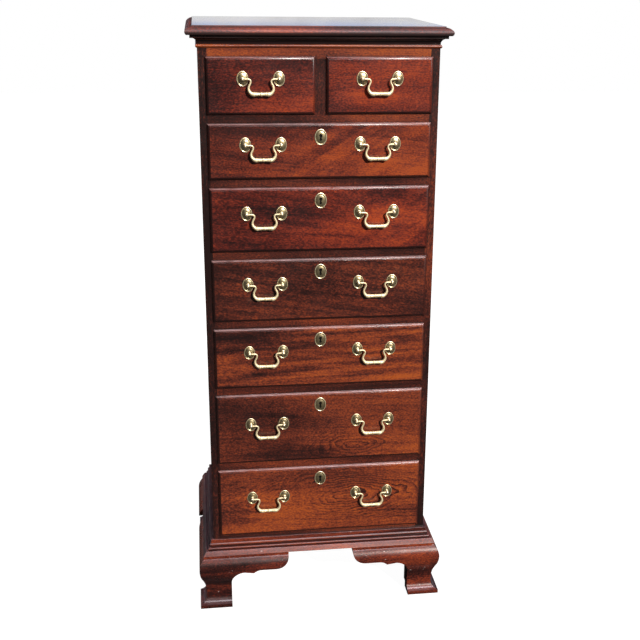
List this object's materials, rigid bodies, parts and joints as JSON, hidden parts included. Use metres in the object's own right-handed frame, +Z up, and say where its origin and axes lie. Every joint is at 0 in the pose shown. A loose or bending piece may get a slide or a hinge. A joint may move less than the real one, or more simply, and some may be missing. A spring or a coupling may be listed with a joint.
{
  "type": "tallboy",
  "caption": "Narrow mahogany tallboy: two small drawers over graduated long ones with brass swan-neck pulls, under a moulded cornice, on ogee bracket feet",
  "frame": {"origin": "middle of the ground under the whole piece, feet and mouldings included, at floor level", "axes": "+X to the right as one faces the drawers, +Y from front to back, +Z up"},
  "size_m": [0.644, 0.49, 1.495],
  "materials": {
    "mahogany": "polished, deep red-brown mahogany with figured fronts",
    "drawer_wood": "plain, unpolished oak drawer linings and runners",
    "back_wood": "plain, unpolished softwood back, bottom and blocks",
    "brass": "polished on the high spots, dark in the hollows"
  },
  "bodies": {
    "case": {"side_left": "mahogany", "side_right": "mahogany", "top_board": "mahogany", "cornice_moulding": "mahogany", "front_rails": "mahogany", "centre_divider": "mahogany", "bottom_board": "back_wood", "drawer_runners": "drawer_wood", "drawer_kickers": "drawer_wood", "back_boards": "back_wood", "base_moulding": "mahogany", "foot_front_left": "mahogany", "foot_front_right": "mahogany", "foot_rear_left": "mahogany", "foot_rear_right": "mahogany", "foot_blocks": "back_wood"},
    "drawer_1": {"drawer_front_1": "mahogany", "drawer_box_1": "drawer_wood", "pull_mounts_1": "brass", "escutcheon_1": "brass"},
    "pull_1_left": {"bail_1_left": "brass"},
    "pull_1_right": {"bail_1_right": "brass"},
    "drawer_2": {"drawer_front_2": "mahogany", "drawer_box_2": "drawer_wood", "pull_mounts_2": "brass", "escutcheon_2": "brass"},
    "pull_2_left": {"bail_2_left": "brass"},
    "pull_2_right": {"bail_2_right": "brass"},
    "drawer_3": {"drawer_front_3": "mahogany", "drawer_box_3": "drawer_wood", "pull_mounts_3": "brass", "escutcheon_3": "brass"},
    "pull_3_left": {"bail_3_left": "brass"},
    "pull_3_right": {"bail_3_right": "brass"},
    "drawer_4": {"drawer_front_4": "mahogany", "drawer_box_4": "drawer_wood", "pull_mounts_4": "brass", "escutcheon_4": "brass"},
    "pull_4_left": {"bail_4_left": "brass"},
    "pull_4_right": {"bail_4_right": "brass"},
    "drawer_5": {"drawer_front_5": "mahogany", "drawer_box_5": "drawer_wood", "pull_mounts_5": "brass", "escutcheon_5": "brass"},
    "pull_5_left": {"bail_5_left": "brass"},
    "pull_5_right": {"bail_5_right": "brass"},
    "drawer_6": {"drawer_front_6": "mahogany", "drawer_box_6": "drawer_wood", "pull_mounts_6": "brass", "escutcheon_6": "brass"},
    "pull_6_left": {"bail_6_left": "brass"},
    "pull_6_right": {"bail_6_right": "brass"},
    "drawer_7_left": {"drawer_front_7_left": "mahogany", "drawer_box_7_left": "drawer_wood", "pull_mounts_7_left": "brass"},
    "pull_7_left": {"bail_7_left": "brass"},
    "drawer_7_right": {"drawer_front_7_right": "mahogany", "drawer_box_7_right": "drawer_wood", "pull_mounts_7_right": "brass"},
    "pull_7_right": {"bail_7_right": "brass"}
  },
  "joints": [
    {"name": "drawer_1_slide", "type": "slide", "parent": "case", "child": "drawer_1", "axis": [0, -1, 0], "range_m": [0, 0.32]},
    {"name": "bail_1_left_hinge", "type": "hinge", "parent": "drawer_1", "child": "pull_1_left", "pos_m": [-0.136, -0.2236, 0.305], "axis": [-1, 0, 0], "range_deg": [-7, 187]},
    {"name": "bail_1_right_hinge", "type": "hinge", "parent": "drawer_1", "child": "pull_1_right", "pos_m": [0.136, -0.2236, 0.305], "axis": [-1, 0, 0], "range_deg": [-7, 187]},
    {"name": "drawer_2_slide", "type": "slide", "parent": "case", "child": "drawer_2", "axis": [0, -1, 0], "range_m": [0, 0.32]},
    {"name": "bail_2_left_hinge", "type": "hinge", "parent": "drawer_2", "child": "pull_2_left", "pos_m": [-0.136, -0.2236, 0.5135], "axis": [-1, 0, 0], "range_deg": [-7, 187]},
    {"name": "bail_2_right_hinge", "type": "hinge", "parent": "drawer_2", "child": "pull_2_right", "pos_m": [0.136, -0.2236, 0.5135], "axis": [-1, 0, 0], "range_deg": [-7, 187]},
    {"name": "drawer_3_slide", "type": "slide", "parent": "case", "child": "drawer_3", "axis": [0, -1, 0], "range_m": [0, 0.32]},
    {"name": "bail_3_left_hinge", "type": "hinge", "parent": "drawer_3", "child": "pull_3_left", "pos_m": [-0.136, -0.2236, 0.7085], "axis": [-1, 0, 0], "range_deg": [-7, 187]},
    {"name": "bail_3_right_hinge", "type": "hinge", "parent": "drawer_3", "child": "pull_3_right", "pos_m": [0.136, -0.2236, 0.7085], "axis": [-1, 0, 0], "range_deg": [-7, 187]},
    {"name": "drawer_4_slide", "type": "slide", "parent": "case", "child": "drawer_4", "axis": [0, -1, 0], "range_m": [0, 0.32]},
    {"name": "bail_4_left_hinge", "type": "hinge", "parent": "drawer_4", "child": "pull_4_left", "pos_m": [-0.136, -0.2236, 0.885], "axis": [-1, 0, 0], "range_deg": [-7, 187]},
    {"name": "bail_4_right_hinge", "type": "hinge", "parent": "drawer_4", "child": "pull_4_right", "pos_m": [0.136, -0.2236, 0.885], "axis": [-1, 0, 0], "range_deg": [-7, 187]},
    {"name": "drawer_5_slide", "type": "slide", "parent": "case", "child": "drawer_5", "axis": [0, -1, 0], "range_m": [0, 0.32]},
    {"name": "bail_5_left_hinge", "type": "hinge", "parent": "drawer_5", "child": "pull_5_left", "pos_m": [-0.136, -0.2236, 1.0615], "axis": [-1, 0, 0], "range_deg": [-7, 187]},
    {"name": "bail_5_right_hinge", "type": "hinge", "parent": "drawer_5", "child": "pull_5_right", "pos_m": [0.136, -0.2236, 1.0615], "axis": [-1, 0, 0], "range_deg": [-7, 187]},
    {"name": "drawer_6_slide", "type": "slide", "parent": "case", "child": "drawer_6", "axis": [0, -1, 0], "range_m": [0, 0.32]},
    {"name": "bail_6_left_hinge", "type": "hinge", "parent": "drawer_6", "child": "pull_6_left", "pos_m": [-0.136, -0.2236, 1.2255], "axis": [-1, 0, 0], "range_deg": [-7, 187]},
    {"name": "bail_6_right_hinge", "type": "hinge", "parent": "drawer_6", "child": "pull_6_right", "pos_m": [0.136, -0.2236, 1.2255], "axis": [-1, 0, 0], "range_deg": [-7, 187]},
    {"name": "drawer_7_left_slide", "type": "slide", "parent": "case", "child": "drawer_7_left", "axis": [0, -1, 0], "range_m": [0, 0.32]},
    {"name": "bail_7_left_hinge", "type": "hinge", "parent": "drawer_7_left", "child": "pull_7_left", "pos_m": [-0.139, -0.2236, 1.377], "axis": [-1, 0, 0], "range_deg": [-7, 187]},
    {"name": "drawer_7_right_slide", "type": "slide", "parent": "case", "child": "drawer_7_right", "axis": [0, -1, 0], "range_m": [0, 0.32]},
    {"name": "bail_7_right_hinge", "type": "hinge", "parent": "drawer_7_right", "child": "pull_7_right", "pos_m": [0.139, -0.2236, 1.377], "axis": [-1, 0, 0], "range_deg": [-7, 187]}
  ]
}
